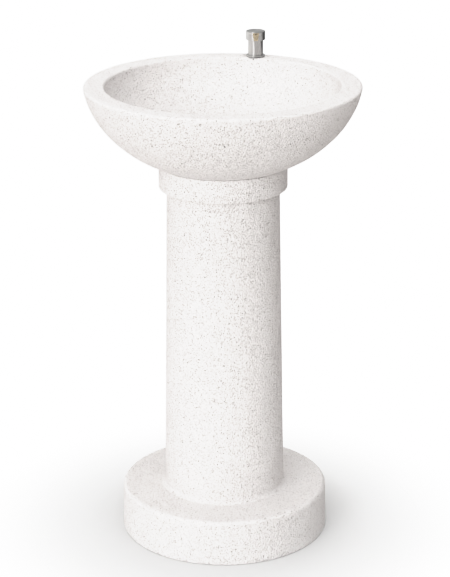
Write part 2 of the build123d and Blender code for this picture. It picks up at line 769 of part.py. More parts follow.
def gland_nut():
    z0 = TAP_TOP_Z - GLAND_H
    body = ring(SEAT_RING_R, SPINDLE_R + SPINDLE_FIT, z0, TAP_TOP_Z, 0, TAP_Y)
    groove_r = SPINDLE_R + SPINDLE_FIT + 2 * ORING_R
    body -= rod(groove_r, ORING_Z - ORING_R, ORING_Z + ORING_R, 0, TAP_Y)
    for side in (-1, 1):
        body -= Pos(side * 9.0, TAP_Y, TAP_TOP_Z) * Box(3.0, 4.0, 4.0)
    return body


def spindle_seal():
    radius = SPINDLE_R + SPINDLE_FIT + ORING_R
    return Pos(0, TAP_Y, ORING_Z) * Torus(radius, ORING_R)


def spindle():
    body = rod(SPINDLE_R, SPINDLE_Z0, SPINDLE_TOP_Z, 0, TAP_Y)
    shoulder_top = TAP_TOP_Z - GLAND_H - PLUNGER_GAP
    body += rod(SHOULDER_R, shoulder_top - SHOULDER_T, shoulder_top, 0, TAP_Y)
    body -= rod(SPINDLE_BORE_R, SPINDLE_CROSS_Z - SPINDLE_BORE_R, SPINDLE_TOP_Z, 0, TAP_Y)
    cross = Rot(0, 90, 0) * Cylinder(SPINDLE_BORE_R, 4 * SPINDLE_R)
    body -= Pos(0, TAP_Y, SPINDLE_CROSS_Z) * cross
    return body - feed_hole(0.0, SPINDLE_R + 1)


def plunger_washer():
    top = SEAT_LEDGE_Z - PLUNGER_GAP
    return ring(PLUNGER_R, SPINDLE_R, top - PLUNGER_T, top, 0, TAP_Y)


def plunger_nut():
    top = SEAT_LEDGE_Z - PLUNGER_GAP - PLUNGER_T
    nut = hexagon(PLUNGER_NUT_R, top - PLUNGER_NUT_T, top, 0, TAP_Y)
    return nut - rod(SPINDLE_R, top - PLUNGER_NUT_T, top, 0, TAP_Y)


def return_spring():
    z0 = SEAT_LEDGE_Z + SEAT_RING_T + SPRING_WIRE_R
    z1 = TAP_TOP_Z - GLAND_H - PLUNGER_GAP - SHOULDER_T - SPRING_WIRE_R
    height = z1 - z0
    path = Helix(height / SPRING_TURNS, height, SPRING_R)
    start = Plane(path @ 0, z_dir=path % 0)
    coil = sweep(start * Circle(SPRING_WIRE_R), path, is_frenet=True)
    return Pos(0, TAP_Y, z0) * coil


def toward_user(shape):
    """Places a shape made pointing along +X on the cap, turned to the jet's direction."""
    return Pos(0, TAP_Y, 0) * (Rot(0, 0, NOZZLE_TURN - 90.0) * shape)


def feed_hole(start, end):
    """Level water way inside the cap's roof."""
    hole = Rot(0, 90, 0) * rod(FEED_R, start, end)
    return toward_user(Pos(0, 0, FEED_Z) * hole)


def nozzle_blank():
    """Tapered brass block and its rear tube before boring."""
    outline = Polyline(
        (-NOZZLE_HALF_BOTTOM, NOZZLE_Z0),
        (NOZZLE_HALF_BOTTOM, NOZZLE_Z0),
        (NOZZLE_HALF_TOP, NOZZLE_Z1),
        (-NOZZLE_HALF_TOP, NOZZLE_Z1),
        close=True,
    )
    block = Pos(NOZZLE_BACK, 0, 0) * extrude(Plane.YZ * make_face(outline), CAP_R)
    block = block & ring(CAP_R + 1, NOZZLE_BACK, NOZZLE_Z0, NOZZLE_Z1)
    tube = Pos(0, 0, FEED_Z) * (Rot(0, 90, 0) * rod(SPIGOT_TUBE_R, SPIGOT_BACK, NOZZLE_BACK + 0.5))
    return toward_user(block + tube)


def jet_nozzle():
    body = nozzle_blank() & rod(NOZZLE_FACE_R, NOZZLE_Z0, NOZZLE_Z1, 0, TAP_Y)
    body -= feed_hole(SPIGOT_BACK - 1, NOZZLE_BACK)
    jet = Rot(0, 90 - JET_RISE, 0) * rod(FEED_R, 0, CAP_R)
    return body - toward_user(Pos(NOZZLE_BACK - 0.5, 0, FEED_Z - 0.5) * jet)


def push_cap():
    body = rod(CAP_R, CAP_Z0, CAP_Z1, 0, TAP_Y)
    body = fillet(body.edges(), CAP_EDGE_R)
    body -= rod(CAP_BORE_R, CAP_Z0, CAP_ROOF_Z, 0, TAP_Y)
    body -= rod(SPINDLE_R, CAP_ROOF_Z, SPINDLE_TOP_Z, 0, TAP_Y)
    body -= feed_hole(SPINDLE_R - 0.5, SPIGOT_BACK + 0.5)
    return body - nozzle_blank()


NODES = {
    "base_plinth": base_plinth,
    "column": column,
    "collar": collar,
    "bowl": bowl,
    "foot_mortar": foot_mortar,
    "bowl_mortar": bowl_mortar,
    "foot_dowels": foot_dowels,
    "bowl_dowels": bowl_dowels,
    "anchor_sockets": anchor_sockets,
    "access_cover": access_cover,
    "cover_gasket": cover_gasket,
    "cover_screws": cover_screws,
    "cover_inserts": cover_inserts,
    "drain_flange": drain_flange,
    "drain_grid": drain_grid,
    "drain_screw": drain_screw,
    "drain_top_seal": drain_top_seal,
    "drain_bottom_seal": drain_bottom_seal,
    "drain_washer": drain_washer,
    "drain_locknut": drain_locknut,
    "tailpipe_washer": tailpipe_washer,
    "tailpipe": tailpipe,
    "tailpipe_nut": tailpipe_nut,
    "trap_body": trap_body,
    "trap_inlet_seal": trap_inlet_seal,
    "trap_inlet_nut": trap_inlet_nut,
    "trap_cup": trap_cup,
    "trap_cup_seal": trap_cup_seal,
    "trap_outlet_nut": trap_outlet_nut,
    "waste_pipe": waste_pipe,
    "riser_pipe": riser_pipe,
    "riser_nut": riser_nut,
    "valve_body": valve_body,
    "valve_end": valve_end,
    "valve_seats": valve_seats,
    "valve_packing_nut": valve_packing_nut,
    "valve_ball": valve_ball,
    "valve_stem": valve_stem,
    "valve_handle": valve_handle,
    "valve_handle_nut": valve_handle_nut,
    "supply_tube": supply_tube,
    "supply_nuts": supply_nuts,
    "cast_in_tube": cast_in_tube,
    "tap_socket": tap_socket,
    "tap_gasket": tap_gasket,
    "tap_flange": tap_flange,
    "tap_body": tap_body,
    "tap_seat": tap_seat,
    "gland_nut": gland_nut,
    "spindle_seal": spindle_seal,
    "spindle": spindle,
    "plunger_washer": plunger_washer,
    "plunger_nut": plunger_nut,
    "return_spring": return_spring,
    "push_cap": push_cap,
    "jet_nozzle": jet_nozzle,
}

os.makedirs("parts", exist_ok=True)
for name, make in NODES.items():
    shape = make()
    if isinstance(shape, list):
        shape = Compound(children=[solid for item in shape for solid in item.solids()])
    shape.label = name
    export_step(shape, f"parts/{name}.step")
    print(name, len(shape.solids()), round(shape.volume))
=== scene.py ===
"""Drinking fountain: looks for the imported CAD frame. Lengths are in metres."""

import json
import math

import bmesh
import bpy
from mathutils import Matrix, Vector, noise


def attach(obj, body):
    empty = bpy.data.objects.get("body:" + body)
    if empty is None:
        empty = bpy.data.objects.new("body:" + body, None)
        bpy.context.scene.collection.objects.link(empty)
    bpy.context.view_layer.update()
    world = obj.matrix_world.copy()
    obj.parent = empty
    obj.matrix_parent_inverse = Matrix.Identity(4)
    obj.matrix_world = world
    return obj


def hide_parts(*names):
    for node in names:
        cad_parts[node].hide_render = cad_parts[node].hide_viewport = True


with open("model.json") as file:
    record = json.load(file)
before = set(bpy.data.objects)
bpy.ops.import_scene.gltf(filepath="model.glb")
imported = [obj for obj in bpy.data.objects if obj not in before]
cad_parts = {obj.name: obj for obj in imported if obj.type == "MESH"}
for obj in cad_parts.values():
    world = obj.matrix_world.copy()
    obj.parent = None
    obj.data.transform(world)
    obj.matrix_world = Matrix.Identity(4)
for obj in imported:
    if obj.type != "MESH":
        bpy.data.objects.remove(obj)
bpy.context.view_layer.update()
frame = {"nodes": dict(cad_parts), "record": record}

nodes = frame["nodes"]

MM = 0.001

# ---- Shape of the cast-stone pieces, as in the CAD ----
PLINTH_R_BOTTOM = 236 * MM
PLINTH_R_TOP = 233.5 * MM
PLINTH_H = 104 * MM
PLINTH_LOWER_FILLET = 2.5 * MM
PLINTH_UPPER_FILLET = 9 * MM
BORE_R = 90 * MM
COLUMN_R_BOTTOM = 137 * MM
COLUMN_R_TOP = 125 * MM
MORTAR_T = 3 * MM
MORTAR_FILLET = 9 * MM
COLLAR_Z = 814 * MM
COLLAR_R = 142.5 * MM
COLLAR_FILLET = 3.5 * MM
COLLAR_SEAT_FILLET = 0.5 * MM
SPIGOT_R = 122 * MM
SPIGOT_TOP_Z = 865 * MM
SEAT_Z = 867 * MM
RIM_Z = 1044.5 * MM
RIM_FILLET = 5 * MM
# Section curves: radius and height of the widest place, depth below it, and power.
BOWL_CURVE = (307 * MM, 1073.5 * MM, 232.2 * MM, 2.0)
BASIN_CURVE = (258 * MM, 1047.5 * MM, 150.5 * MM, 1.94)
DRAIN_R = 20 * MM
RECESS_R = 37 * MM
RECESS_Z = 892 * MM
# Cover rebate and service opening in the column's back: half width, bottom, top, corner radius.
REBATE = (79 * MM, 329 * MM, 651 * MM, 11 * MM)
OPENING = (62 * MM, 350 * MM, 630 * MM, 10 * MM)
REBATE_DEPTH = 5 * MM
TAP_AXIS = (0.0, 277.5 * MM)

# ---- Mesh fineness ----
FINE = 3.4 * MM
COARSE = 30 * MM
PLINTH_INNER = 45 * MM
BORE_LENGTH = 60 * MM
ARC_STEP = 1.2 * MM
SHARP_ANGLE = math.radians(38)
PLINTH_SEGMENTS = 420
FOOT_SEGMENTS = 300
COLUMN_SEGMENTS = 260
COLLAR_SEGMENTS = 300
BOWL_SEGMENTS = 500
BOWL_OUTSIDE_POINTS = 70
BOWL_INSIDE_POINTS = 88
FLOOR_SEGMENTS = 128
# Relief of the cast and blasted stone: width and height of each layer of lumps.
LUMPS = ((34 * MM, 0.30 * MM), (11 * MM, 0.16 * MM), (4.5 * MM, 0.13 * MM))


def column_r(z):
    share = (z - PLINTH_H) / (COLLAR_Z - PLINTH_H)
    return COLUMN_R_BOTTOM + (COLUMN_R_TOP - COLUMN_R_BOTTOM) * share


def curve_point(curve, angle):
    """Point (radius, height) on a section curve, widest place at 0 and axis at 90 degrees."""
    radius, top, depth, power = curve
    across = math.cos(angle) ** (2 / power)
    down = math.sin(angle) ** (2 / power)
    return (radius * across, top - depth * down)


def curve_angle(curve, z):
    """Angle at which a section curve reaches a height."""
    low, high = 0.0, math.pi / 2
    for _ in range(50):
        middle = (low + high) / 2
        if curve_point(curve, middle)[1] > z:
            low = middle
        else:
            high = middle
    return low


def curve_points(curve, start, end, count):
    step = (end - start) / (count - 1)
    return [curve_point(curve, start + step * i) for i in range(count)]


# ---- Mesh helpers ----
def rounded(corners):
    """Closed outline from (r, z, fillet, spacing, rough) corners; returns (r, z, rough) points.

    The spacing and roughness of a corner hold for the stretch that follows it.
    """
    count = len(corners)
    ends = []
    for i in range(count):
        here = Vector(corners[i][:2])
        radius = corners[i][2]
        back = Vector(corners[i - 1][:2]) - here
        ahead = Vector(corners[(i + 1) % count][:2]) - here
        if radius <= 0 or back.length < 1e-9 or ahead.length < 1e-9:
            ends.append([here])
            continue
        back.normalize()
        ahead.normalize()
        half = back.angle(ahead) / 2
        reach = radius / math.tan(half)
        centre = here + (back + ahead).normalized() * (radius / math.sin(half))
        first = here + back * reach - centre
        last = here + ahead * reach - centre
        sweep = first.angle_signed(last)
        steps = max(4, int(abs(sweep) * radius / ARC_STEP))
        arc = []
        for k in range(steps + 1):
            turn = -sweep * k / steps
            c, s = math.cos(turn), math.sin(turn)
            arc.append(centre + Vector((first.x * c - first.y * s, first.x * s + first.y * c)))
        ends.append(arc)
    points = []
    for i in range(count):
        spacing, rough = corners[i][3], corners[i][4]
        before = corners[i - 1][4]
        arc = ends[i]
        at_corner = max(rough, before) if len(arc) > 1 else min(rough, before)
        points += [(p.x, p.y, at_corner) for p in arc]
        start, end = arc[-1], ends[(i + 1) % count][0]
        steps = max(1, math.ceil((end - start).length / spacing))
        for k in range(1, steps):
            p = start.lerp(end, k / steps)
            points.append((p.x, p.y, rough))
    return points


def place_object(name, data):
    """Object for a mesh, camera or light, in the scene."""
    obj = bpy.data.objects.new(name, data)
    bpy.context.scene.collection.objects.link(obj)
    return obj


def object_from(bm, name):
    """Object made of a bmesh, which is freed."""
    mesh = bpy.data.meshes.new(name)
    bm.to_mesh(mesh)
    bm.free()
    return place_object(name, mesh)


def lathe(name, outline, segments):
    """Ring-shaped mesh turned about Z; a vertex attribute keeps its outline's roughness."""
    mesh = bpy.data.meshes.new(name)
    count = len(outline)
    verts = []
    rough = []
    for j in range(segments):
        a = 2 * math.pi * j / segments
        c, s = math.cos(a), math.sin(a)
        for r, z, amount in outline:
            verts.append((r * c, r * s, z))
            rough.append(amount)
    faces = []
    for j in range(segments):
        k = (j + 1) % segments
        for i in range(count):
            m = (i + 1) % count
            faces.append((j * count + i, k * count + i, k * count + m, j * count + m))
    mesh.from_pydata(verts, [], faces)
    bm = bmesh.new()
    bm.from_mesh(mesh)
    bmesh.ops.recalc_face_normals(bm, faces=bm.faces)
    bm.to_mesh(mesh)
    bm.free()
    attribute = mesh.attributes.new("rough", "FLOAT", "POINT")
    attribute.data.foreach_set("value", rough)
    return place_object(name, mesh)


def roughen(obj, seed):
    """Moves the marked vertices along their normals by smooth noise."""
    mesh = obj.data
    amounts = [0.0] * len(mesh.vertices)
    mesh.attributes["rough"].data.foreach_get("value", amounts)
    shift = Vector((seed * 7.3, seed * 3.1, seed * 5.7))
    places = [v.co.copy() for v in mesh.vertices]
    normals = [v.normal.copy() for v in mesh.vertices]
    for v, p, n, amount in zip(mesh.vertices, places, normals, amounts):
        if amount > 0:
            height = sum(size * noise.noise(p / scale + shift) for scale, size in LUMPS)
            v.co = p + n * height * amount
    mesh.attributes.remove(mesh.attributes["rough"])


def cut(obj, cutter):
    """Takes a closed cutter's shape out of a mesh, and removes the cutter."""
    modifier = obj.modifiers.new("cut", "BOOLEAN")
    modifier.operation = "DIFFERENCE"
    modifier.solver = "EXACT"
    modifier.object = cutter
    graph = bpy.context.evaluated_depsgraph_get()
    result = bpy.data.meshes.new_from_object(obj.evaluated_get(graph))
    obj.modifiers.clear()
    old = obj.data
    obj.data = result
    result.name = obj.name
    bpy.data.meshes.remove(old)
    bpy.data.objects.remove(cutter)


def rear_block(half_w, z0, z1, corner):
    """Block with rounded corners through the back of the column wall."""
    near_y, far_y = 60 * MM, 150 * MM
    corner_steps = 8
    bm = bmesh.new()
    ring = []
    for cx, cz, start in (
        (half_w - corner, z1 - corner, 0),
        (-half_w + corner, z1 - corner, 90),
        (-half_w + corner, z0 + corner, 180),
        (half_w - corner, z0 + corner, 270),
    ):
        for k in range(corner_steps + 1):
            a = math.radians(start + 90 * k / corner_steps)
            ring.append((cx + corner * math.cos(a), cz + corner * math.sin(a)))
    near = [bm.verts.new((x, near_y, z)) for x, z in ring]
    far = [bm.verts.new((x, far_y, z)) for x, z in ring]
    bm.faces.new(near)
    bm.faces.new(list(reversed(far)))
    for i in range(len(ring)):
        k = (i + 1) % len(ring)
        bm.faces.new((near[i], far[i], far[k], near[k]))
    bmesh.ops.recalc_face_normals(bm, faces=bm.faces)
    return object_from(bm, "cutter")


def lathe_solid(outline):
    """Closed turned solid whose outline starts and ends on the axis."""
    bm = bmesh.new()
    inner = outline[1:-1]
    low = bm.verts.new((0, 0, outline[0][1]))
    high = bm.verts.new((0, 0, outline[-1][1]))
    rings = []
    for r, z in inner:
        ring = []
        for j in range(COLUMN_SEGMENTS):
            a = 2 * math.pi * (j + 0.5) / COLUMN_SEGMENTS
            ring.append(bm.verts.new((r * math.cos(a), r * math.sin(a), z)))
        rings.append(ring)
    for j in range(COLUMN_SEGMENTS):
        k = (j + 1) % COLUMN_SEGMENTS
        bm.faces.new((low, rings[0][k], rings[0][j]))
        bm.faces.new((high, rings[-1][j], rings[-1][k]))
        for a, b in zip(rings, rings[1:]):
            bm.faces.new((a[j], a[k], b[k], b[j]))
    bmesh.ops.recalc_face_normals(bm, faces=bm.faces)
    return object_from(bm, "core")


# ---- Node helpers ----
def material(name):
    mat = bpy.data.materials.new(name)
    mat.use_nodes = True
    return mat, mat.node_tree, mat.node_tree.nodes["Principled BSDF"]


def add(tree, kind, inputs=None, **settings):
    """New shader node; each input is a number, a tuple or a socket to link from."""
    node = tree.nodes.new(kind)
    for key, value in settings.items():
        setattr(node, key, value)
    for key, value in (inputs or {}).items():
        if isinstance(value, bpy.types.NodeSocket):
            tree.links.new(value, node.inputs[key])
        else:
            node.inputs[key].default_value = value
    return node


def math_node(tree, operation, a, b=0.0):
    return add(tree, "ShaderNodeMath", {0: a, 1: b}, operation=operation).outputs[0]


def vector_math(tree, operation, a, b):
    return add(tree, "ShaderNodeVectorMath", {0: a, 1: b}, operation=operation)


def length_of(tree, vector):
    node = add(tree, "ShaderNodeVectorMath", {0: vector}, operation="LENGTH")
    return node.outputs["Value"]


def mix(tree, amount, a, b):
    """Mixes two colours; the amount and the colours may be values or sockets."""
    node = tree.nodes.new("ShaderNodeMix")
    node.data_type = "RGBA"
    factor_input, a_input, b_input = (node.inputs[i] for i in (0, 6, 7))
    for socket, value in ((factor_input, amount), (a_input, a), (b_input, b)):
        if isinstance(value, bpy.types.NodeSocket):
            tree.links.new(value, socket)
        elif socket == factor_input:
            socket.default_value = value
        else:
            socket.default_value = (*value, 1)
    return node.outputs[2]


def scaled(colour, factor):
    return tuple(c * factor for c in colour)


def remap(tree, value, low, high, to_low, to_high, smooth=False):
    """Value moved from one range to another, and held at the new range's ends."""
    ranges = {"From Min": low, "From Max": high, "To Min": to_low, "To Max": to_high}
    node = add(tree, "ShaderNodeMapRange", {"Value": value, **ranges})
    node.interpolation_type = "SMOOTHSTEP" if smooth else "LINEAR"
    return node.outputs[0]


def coordinates(tree):
    return add(tree, "ShaderNodeTexCoord").outputs["Object"]


def noise_value(tree, where, scale, detail=2.0, roughness=0.5):
    inputs = {"Vector": where, "Scale": scale, "Detail": detail, "Roughness": roughness}
    return add(tree, "ShaderNodeTexNoise", inputs).outputs[0]


# ---- Materials ----
def raise_grain(tree, bsdf, strength, distance, height):
    node = add(
        tree, "ShaderNodeBump", {"Strength": strength, "Distance": distance, "Height": height}
    )
    tree.links.new(node.outputs[0], bsdf.inputs["Normal"])


STONE_TINT = (0.87, 0.842, 0.832)
GRAIN_DARK = (0.62, 0.585, 0.565)
GRAIN_LIGHT = (0.95, 0.93, 0.92)
# Specks: cells per metre, radius as a share of the cell, share of cells that hold one, and
# the darkest and lightest colours.
SPECKS = (
    (300.0, 0.36, 0.50, (0.62, 0.59, 0.57), (0.84, 0.81, 0.80)),
    (430.0, 0.34, 0.22, (0.34, 0.30, 0.28), (0.62, 0.59, 0.57)),
    (260.0, 0.26, 0.20, (0.16, 0.14, 0.125), (0.50, 0.44, 0.39)),
    (140.0, 0.17, 0.17, (0.08, 0.07, 0.065), (0.34, 0.28, 0.23)),
)
GRAIN_LUMPS = ((230.0, 0.9), (430.0, 0.9))
PIT_DEPTH = 0.45
GRAIN_DISTANCE = 0.0038


def stone_material(name, tint=STONE_TINT, specks=1.0):
    """White cast stone: blasted grain, small pits and grey, brown and dark specks."""
    mat, tree, bsdf = material(name)
    where = coordinates(tree)
    broad = noise_value(tree, where, 7.0, 3.0)
    patch = noise_value(tree, where, 55.0, 3.0, 0.6)
    grain = noise_value(tree, where, 420.0, 3.0, 0.65)
    colour = mix(tree, remap(tree, broad, 0.3, 0.7, 0, 1), tint, scaled(tint, 0.97))
    colour = mix(tree, remap(tree, patch, 0.4, 0.7, 0, 0.6), colour, scaled(tint, 0.955))
    colour = mix(tree, remap(tree, grain, 0.28, 0.46, 0.4, 0), colour, GRAIN_DARK)
    colour = mix(tree, remap(tree, grain, 0.54, 0.75, 0, 0.5), colour, GRAIN_LIGHT)
    pits = 0.0
    for scale, reach, share, dark, light in SPECKS:
        inputs = {"Vector": where, "Scale": scale, "Randomness": 1.0}
        cells = add(tree, "ShaderNodeTexVoronoi", inputs)
        kinds = add(tree, "ShaderNodeSeparateColor", {0: cells.outputs["Color"]})
        spot = remap(tree, cells.outputs["Distance"], reach * 0.6, reach * 1.15, 1, 0, True)
        present = math_node(tree, "LESS_THAN", kinds.outputs[0], share * specks)
        spot = math_node(tree, "MULTIPLY", spot, present)
        shade = mix(tree, kinds.outputs[1], dark, light)
        colour = mix(tree, spot, colour, shade)
        pits = math_node(tree, "ADD", pits, spot)
    tree.links.new(colour, bsdf.inputs["Base Color"])
    lumps = 0.0
    for scale, weight in GRAIN_LUMPS:
        layer = math_node(tree, "MULTIPLY", noise_value(tree, where, scale, 2.0, 0.6), weight)
        lumps = math_node(tree, "ADD", lumps, layer)
    sunken = math_node(tree, "MULTIPLY", pits, PIT_DEPTH)
    height = math_node(tree, "SUBTRACT", lumps, sunken)
    raise_grain(tree, bsdf, 1.0, GRAIN_DISTANCE, height)
    tree.links.new(remap(tree, grain, 0.3, 0.7, 0.78, 0.95), bsdf.inputs["Roughness"])
    bsdf.inputs["Specular IOR Level"].default_value = 0.25
    return mat


METAL_GRAIN_DISTANCE = 0.0004
BRUSHED_SQUEEZE = (0.03, 0.03, 1.0)


def brushed_metal(
    name, colour, low, high, scale, bump=0.05, around=None, patina=0.12, stretch=0.0
):
    """Brushed metal with roughness from low to high.

    around is the (x, y) axis of a turned piece, whose marks run round it; stretch draws its
    highlights out along that axis.
    """
    mat, tree, bsdf = material(name)
    place = coordinates(tree)
    if around:
        place = vector_math(tree, "SUBTRACT", place, (*around, 0)).outputs[0]
        parts = add(tree, "ShaderNodeSeparateXYZ", {0: place})
        flat = add(tree, "ShaderNodeCombineXYZ", {0: parts.outputs[0], 1: parts.outputs[1]})
        radius = length_of(tree, flat.outputs[0])
        marks = add(tree, "ShaderNodeCombineXYZ", {0: radius, 2: parts.outputs[2]})
    else:
        marks = add(tree, "ShaderNodeMapping", {"Vector": place, "Scale": BRUSHED_SQUEEZE})
    fine = noise_value(tree, marks.outputs[0], scale, 3.0, 0.7)
    cloud = noise_value(tree, place, 60.0, 3.0, 0.6)
    base = mix(tree, remap(tree, cloud, 0.35, 0.7, 0, 1), colour, scaled(colour, 1 - patina))
    base = mix(tree, remap(tree, fine, 0.3, 0.7, 0, 0.35), base, scaled(colour, 0.8))
    tree.links.new(base, bsdf.inputs["Base Color"])
    tree.links.new(remap(tree, fine, 0.3, 0.7, low, high), bsdf.inputs["Roughness"])
    bsdf.inputs["Metallic"].default_value = 1.0
    if stretch:
        bsdf.inputs["Anisotropic"].default_value = stretch
        bsdf.inputs["Anisotropic Rotation"].default_value = 0.25
        tangent = add(tree, "ShaderNodeTangent", direction_type="RADIAL", axis="Z")
        tree.links.new(tangent.outputs[0], bsdf.inputs["Tangent"])
    raise_grain(tree, bsdf, bump, METAL_GRAIN_DISTANCE, fine)
    return mat


PLAIN_BUMP = 0.15
PLAIN_GRAIN_DISTANCE = 0.0003
PLAIN_SHADE = 1 - 0.12


def plain_material(name, colour, low, high, scale=90.0, metallic=0.0):
    """Moulded, enamelled or unpolished surface with roughness from low to high."""
    mat, tree, bsdf = material(name)
    where = coordinates(tree)
    cloud = noise_value(tree, where, scale, 4.0, 0.6)
    fine = noise_value(tree, where, scale * 9, 2.0, 0.6)
    clouded = remap(tree, cloud, 0.35, 0.7, 0, 1)
    base = mix(tree, clouded, colour, scaled(colour, PLAIN_SHADE))
    tree.links.new(base, bsdf.inputs["Base Color"])
    tree.links.new(remap(tree, cloud, 0.3, 0.7, low, high), bsdf.inputs["Roughness"])
    bsdf.inputs["Metallic"].default_value = metallic
    raise_grain(tree, bsdf, PLAIN_BUMP, PLAIN_GRAIN_DISTANCE, fine)
    return mat


LOOKS = {
    "cast_stone": stone_material("cast_stone"),
    "mortar": stone_material("mortar", (0.83, 0.80, 0.79), 0.6),
    "stainless": brushed_metal("stainless", (0.60, 0.585, 0.57), 0.24, 0.38, 900.0),
    "steel_rod": plain_material("steel_rod", (0.28, 0.25, 0.23), 0.5, 0.75, metallic=1.0),
    "galvanised": plain_material("galvanised", (0.62, 0.64, 0.66), 0.35, 0.55, 150.0, metallic=1.0),
    "rubber": plain_material("rubber", (0.02, 0.02, 0.021), 0.6, 0.8, 200.0),
    "brass": brushed_metal("brass", (0.78, 0.60, 0.30), 0.22, 0.4, 700.0, patina=0.2),
    "white_pipe": plain_material("white_pipe", (0.80, 0.80, 0.78), 0.35, 0.5),
    "copper": brushed_metal("copper", (0.76, 0.38, 0.24), 0.25, 0.45, 500.0, patina=0.35),
    "nickelled_brass": brushed_metal("nickelled_brass", (0.66, 0.63, 0.56), 0.18, 0.32, 600.0),
    "ptfe": plain_material("ptfe", (0.85, 0.85, 0.83), 0.3, 0.45),
    "chrome": brushed_metal("chrome", (0.75, 0.75, 0.75), 0.06, 0.12, 500.0, bump=0.02),
    "lever_enamel": plain_material("lever_enamel", (0.52, 0.03, 0.02), 0.25, 0.4),
    "spring_steel": brushed_metal("spring_steel", (0.55, 0.55, 0.56), 0.25, 0.35, 700.0),
}
TAP_STEEL = brushed_metal(
    "tap_steel",
    (0.70, 0.69, 0.675),
    0.34,
    0.44,
    1300.0,
    bump=0.03,
    around=TAP_AXIS,
    patina=0.05,
    stretch=0.85,
)
TAP_BRASS = brushed_metal(
    "tap_brass", (0.80, 0.69, 0.49), 0.2, 0.34, 800.0, around=TAP_AXIS, patina=0.2
)
SPECIAL = {
    "tap_body": TAP_STEEL,
    "tap_flange": TAP_STEEL,
    "push_cap": TAP_STEEL,
    "jet_nozzle": TAP_BRASS,
}

for entry in frame["record"]["subparts"]:
    name = entry["node"]
    look = SPECIAL.get(name) or LOOKS[entry["material_slot"]]
    obj = nodes[name]
    obj.data.materials.clear()
    obj.data.materials.append(look)


# ---- Cast-stone pieces, with fine relief where they can be seen ----
def dress(obj, node, seed, look="cast_stone"):
    roughen(obj, seed)
    obj.data.shade_smooth()
    obj.data.set_sharp_from_angle(angle=SHARP_ANGLE)
    obj.data.materials.append(LOOKS[look])
    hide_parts(node)
    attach(obj, "stand")


def build_plinth():
    outline = rounded(
        [
            (BORE_R, 0, 0, PLINTH_INNER, 0),
            (PLINTH_R_BOTTOM, 0, PLINTH_LOWER_FILLET, FINE, 1),
            (PLINTH_R_TOP, PLINTH_H, PLINTH_UPPER_FILLET, FINE, 1),
            (COLUMN_R_BOTTOM + MORTAR_FILLET, PLINTH_H, 0, PLINTH_INNER, 0),
            (BORE_R, PLINTH_H, 0, COARSE, 0),
        ]
    )
    obj = lathe("plinth_stone", outline, PLINTH_SEGMENTS)
    dress(obj, "base_plinth", 1)


def build_foot():
    """Mortar bed with a hollow fillet round the column's foot."""
    beyond = 1.5 * MM
    narrowing = 0.98
    steps = 8
    top = PLINTH_H + MORTAR_FILLET
    bed = PLINTH_H + MORTAR_T
    outer = COLUMN_R_BOTTOM + MORTAR_FILLET
    corners = [(BORE_R, PLINTH_H, 0, COARSE, 0), (outer, PLINTH_H, 0, FINE, 0)]
    centre_r, centre_z = outer + beyond, top + beyond
    radius = top - PLINTH_H + beyond
    for k in range(1, steps):
        a = math.radians(270 - 90 * k / steps)
        r = centre_r + radius * math.cos(a) * narrowing
        corners.append((r, centre_z + radius * math.sin(a), 0, FINE, 1))
    corners.append((column_r(top), top, 0, FINE, 0))
    corners.append((column_r(bed), bed, 0, COARSE, 0))
    corners.append((BORE_R, bed, 0, COARSE, 0))
    obj = lathe("foot_fillet", rounded(corners), FOOT_SEGMENTS)
    dress(obj, "foot_mortar", 2)


def build_column():
    """Column with its spigot, the service opening at the back and the cover's rebate."""
    bed = PLINTH_H + MORTAR_T
    outline = rounded(
        [
            (BORE_R, bed, 0, COARSE, 0),
            (column_r(bed), bed, 0, FINE, 1),
            (COLUMN_R_TOP, COLLAR_Z, 0, COARSE, 0),
            (SPIGOT_R, COLLAR_Z, 0, COARSE, 0),
            (SPIGOT_R, SPIGOT_TOP_Z, 0, COARSE, 0),
            (BORE_R, SPIGOT_TOP_Z, 0, BORE_LENGTH, 0),
        ]
    )
    obj = lathe("column_stone", outline, COLUMN_SEGMENTS)
    low, high = 290 * MM, 690 * MM
    core_low = (column_r(low) - REBATE_DEPTH, low)
    core_high = (column_r(high) - REBATE_DEPTH, high)
    core = lathe_solid([(0, low), core_low, core_high, (0, high)])
    rebate = rear_block(*REBATE)
    cut(rebate, core)
    cut(obj, rebate)
    cut(obj, rear_block(*OPENING))
    dress(obj, "column", 3)


def build_collar():
    outline = rounded(
        [
            (SPIGOT_R, COLLAR_Z, 0, COARSE, 0),
            (COLLAR_R, COLLAR_Z, COLLAR_FILLET, FINE, 1),
            (COLLAR_R, SEAT_Z, COLLAR_SEAT_FILLET, COARSE, 0),
            (SPIGOT_R, SEAT_Z, 0, COARSE, 0),
        ]
    )
    obj = lathe("collar_stone", outline, COLLAR_SEGMENTS)
    dress(obj, "collar", 4)


